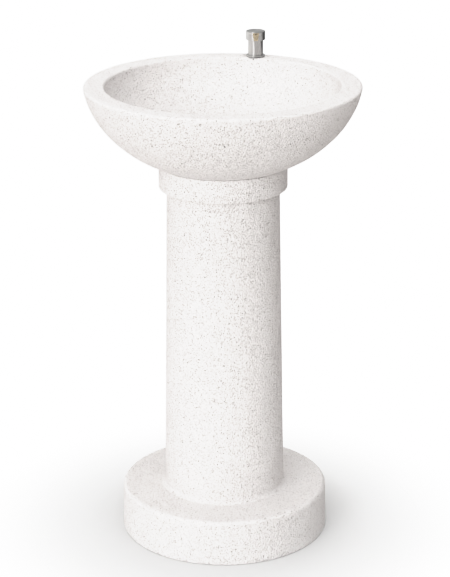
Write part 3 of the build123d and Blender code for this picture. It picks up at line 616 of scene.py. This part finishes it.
def build_bowl():
    """Bowl from the drain bore out to the seat, up to the rim and down the basin."""
    below_fillet = RIM_Z - 1.3 * RIM_FILLET
    corners = [(DRAIN_R, SEAT_Z, 0, BORE_LENGTH, 0)]
    seat_angle = curve_angle(BOWL_CURVE, SEAT_Z)
    top_angle = curve_angle(BOWL_CURVE, below_fillet)
    outside = curve_points(BOWL_CURVE, seat_angle, top_angle, BOWL_OUTSIDE_POINTS)
    corners += [(r, z, 0, FINE, 1) for r, z in outside]
    outer_edge = curve_point(BOWL_CURVE, curve_angle(BOWL_CURVE, RIM_Z))
    corners.append((*outer_edge, RIM_FILLET, FINE, 1))
    inner_edge = curve_point(BASIN_CURVE, curve_angle(BASIN_CURVE, RIM_Z))
    corners.append((*inner_edge, RIM_FILLET, FINE, 1))
    basin_angle = curve_angle(BASIN_CURVE, below_fillet)
    inside = curve_points(BASIN_CURVE, basin_angle, math.pi / 2, BOWL_INSIDE_POINTS)
    corners += [(r, z, 0, FINE, 1) for r, z in inside if r > RECESS_R]
    corners.append((RECESS_R, corners[-1][1] - 0.1 * MM, 0, FINE, 0))
    corners.append((RECESS_R, RECESS_Z, 0, COARSE, 0))
    corners.append((DRAIN_R, RECESS_Z, 0, COARSE, 0))
    obj = lathe("bowl_stone", rounded(corners), BOWL_SEGMENTS)
    dress(obj, "bowl", 5)


build_plinth()
build_foot()
build_column()
build_collar()
build_bowl()

# ---- Floor: a matt grey disc that fades out to the white backdrop; besides the lamps' real shadows, its grey round the base is painted shade ----
# Painted shade: the disc's grey near the base gives way to the white backdrop outwards, standing in
# for a soft shadow round the base. The lamps also cast real shadows on it.
FLOOR_R = 0.62
FLOOR_SOLID_R = 0.22
FLOOR_DROP = 0.2 * MM
FLOOR_GREY = 0.60


def build_floor():
    bm = bmesh.new()
    bmesh.ops.create_circle(bm, cap_ends=True, segments=FLOOR_SEGMENTS, radius=FLOOR_R)
    obj = object_from(bm, "floor")
    obj.location.z = -FLOOR_DROP
    mat, tree, bsdf = material("floor")
    bsdf.inputs["Base Color"].default_value = (FLOOR_GREY, FLOOR_GREY, FLOOR_GREY, 1)
    bsdf.inputs["Roughness"].default_value = 0.9
    bsdf.inputs["Specular IOR Level"].default_value = 0.0
    reach = length_of(tree, coordinates(tree))
    # Painted shade: the disc is fully grey up to FLOOR_SOLID_R and clears towards FLOOR_R.
    shade_halo_fade = remap(tree, reach, FLOOR_SOLID_R, FLOOR_R, 0, 1, True)
    clear = add(tree, "ShaderNodeBsdfTransparent")
    both = add(tree, "ShaderNodeMixShader", {0: shade_halo_fade, 1: bsdf.outputs[0], 2: clear.outputs[0]})
    tree.links.new(both.outputs[0], tree.nodes["Material Output"].inputs["Surface"])
    obj.data.materials.append(mat)


build_floor()

# ---- Camera, standing to the right of the object's front ----
CAMERA_TURN = math.radians(15.8)
CAMERA_DISTANCE = 4.2634
CAMERA_HEIGHT = 2.0912
CAMERA_PITCH = math.radians(19.60)
CAMERA_YAW = math.radians(0.041)
CAMERA_ROLL = math.radians(-0.238)
LENS_MM = 125.5
SENSOR_WIDTH_MM = 36

camera_data = bpy.data.cameras.new("camera")
camera_data.lens = LENS_MM
camera_data.sensor_width = SENSOR_WIDTH_MM
camera = place_object("camera", camera_data)
camera.matrix_world = (
    Matrix.Translation(
        (
            CAMERA_DISTANCE * math.sin(CAMERA_TURN),
            -CAMERA_DISTANCE * math.cos(CAMERA_TURN),
            CAMERA_HEIGHT,
        )
    )
    @ Matrix.Rotation(CAMERA_TURN - CAMERA_YAW, 4, "Z")
    @ Matrix.Rotation(math.radians(90) - CAMERA_PITCH, 4, "X")
    @ Matrix.Rotation(CAMERA_ROLL, 4, "Z")
)
bpy.context.scene.camera = camera


# ---- Light ----
def sun(name, azimuth, elevation, strength, colour, width=45, mirrored=False):
    """Soft directional light, with its angles in degrees.

    The azimuth is measured from the camera's side, positive to its right. A mirrored light
    shows in glossy reflections only, and the others only in matt ones.
    """
    data = bpy.data.lights.new(name, "SUN")
    data.energy = strength
    data.angle = math.radians(width)
    data.color = colour
    obj = place_object(name, data)
    a = CAMERA_TURN + math.radians(azimuth)
    e = math.radians(elevation)
    toward = Vector((math.sin(a) * math.cos(e), -math.cos(a) * math.cos(e), math.sin(e)))
    obj.rotation_euler = toward.to_track_quat("Z", "Y").to_euler()
    obj.visible_glossy = mirrored
    obj.visible_diffuse = not mirrored


COOL = (0.975, 0.992, 1.0)
WARM = (1.0, 0.968, 0.945)
# What the camera sees behind the object, and the light from above and below on matt surfaces;
# a share of it leans to one side of the camera.
BACKDROP = 1.6
AMBIENT_ABOVE = 0.58
AMBIENT_BELOW = 0.88
AMBIENT_SIDE = 0.36
AMBIENT_SIDE_TURN = math.radians(-50)
sun("key_left", -33, 12, 1.55, COOL, 24)
sun("key_front", -10, 24, 0.85, COOL, 30)
sun("top", 0, 86, 2.10, COOL, 60)
sun("back", 178, 26, 0.34, WARM)
sun("glint", -33, 25, 0.90, COOL, 14, mirrored=True)

# What glossy surfaces reflect: brightness by direction, in degrees to the right of the
# camera's side.
REFLECTED = (
    (-180, 0.50),
    (-140, 1.00),
    (-112, 1.15),
    (-74, 1.00),
    (-40, 1.05),
    (-14, 0.85),
    (0, 0.42),
    (20, 0.20),
    (40, 0.16),
    (60, 0.40),
    (78, 0.50),
    (98, 0.10),
    (126, 0.03),
    (152, 0.25),
    (180, 0.50),
)
REFLECTED_ABOVE = 0.50


def grey(level):
    return (level, level, level)


def build_world():
    world = bpy.data.worlds.new("studio")
    bpy.context.scene.world = world
    world.use_nodes = True
    tree = world.node_tree
    tree.nodes.clear()
    direction = add(tree, "ShaderNodeTexCoord").outputs["Generated"]
    parts = add(tree, "ShaderNodeSeparateXYZ", {0: direction})
    toward = math_node(tree, "MULTIPLY", parts.outputs[1], -1.0)
    angle = math_node(tree, "ARCTAN2", parts.outputs[0], toward)
    angle = math_node(tree, "SUBTRACT", angle, CAMERA_TURN)
    wrap = add(tree, "ShaderNodeMath", {0: angle, 1: math.pi, 2: -math.pi}, operation="WRAP")
    round_share = remap(tree, wrap.outputs[0], -math.pi, math.pi, 0, 1)
    ramp = add(tree, "ShaderNodeValToRGB", {0: round_share})
    elements = ramp.color_ramp.elements
    while len(elements) > 1:
        elements.remove(elements[-1])
    elements[0].position = 0
    elements[0].color = (*grey(REFLECTED[0][1]), 1)
    for degrees, value in REFLECTED[1:]:
        elements.new((degrees + 180) / 360).color = (*grey(value), 1)
    up = remap(tree, parts.outputs[2], 0.25, 0.75, 0, 1, True)
    mirrored = mix(tree, up, ramp.outputs[0], grey(REFLECTED_ABOVE))
    path = add(tree, "ShaderNodeLightPath")
    over = math_node(tree, "GREATER_THAN", parts.outputs[2], 0.0)
    level = mix(tree, over, scaled(WARM, AMBIENT_BELOW), scaled(WARM, AMBIENT_ABOVE))
    turn = CAMERA_TURN + AMBIENT_SIDE_TURN
    bright_side = (math.sin(turn) * AMBIENT_SIDE, -math.cos(turn) * AMBIENT_SIDE, 0)
    lean = vector_math(tree, "DOT_PRODUCT", direction, bright_side).outputs["Value"]
    lean = math_node(tree, "ADD", lean, 1.0)
    soft = add(tree, "ShaderNodeVectorMath", {0: level, "Scale": lean}, operation="SCALE")
    colour = mix(tree, path.outputs["Is Glossy Ray"], soft.outputs["Vector"], mirrored)
    colour = mix(tree, path.outputs["Is Camera Ray"], colour, grey(BACKDROP))
    shade = add(tree, "ShaderNodeBackground", {"Color": colour, "Strength": 1.0})
    add(tree, "ShaderNodeOutputWorld", {0: shade.outputs[0]})


build_world()

# ---- Tone: plain display, with bright stone softened so that its grain stays gentle ----
HIGHLIGHTS = (
    (0.0, 0.0),
    (0.35, 0.35),
    (0.7, 0.70),
    (0.9, 0.86),
    (1.1, 0.92),
    (1.3, 0.96),
    (BACKDROP, 1.0),
)
COMBINED = 3
tone = bpy.context.scene.view_settings
tone.view_transform = "Standard"
tone.look = "None"
tone.use_curve_mapping = True
mapping = tone.curve_mapping
mapping.use_clip = True
mapping.clip_max_x = BACKDROP
curve = mapping.curves[COMBINED]
curve.points[0].location = HIGHLIGHTS[0]
curve.points[-1].location = HIGHLIGHTS[-1]
for place, value in HIGHLIGHTS[1:-1]:
    curve.points.new(place, value)
mapping.update()
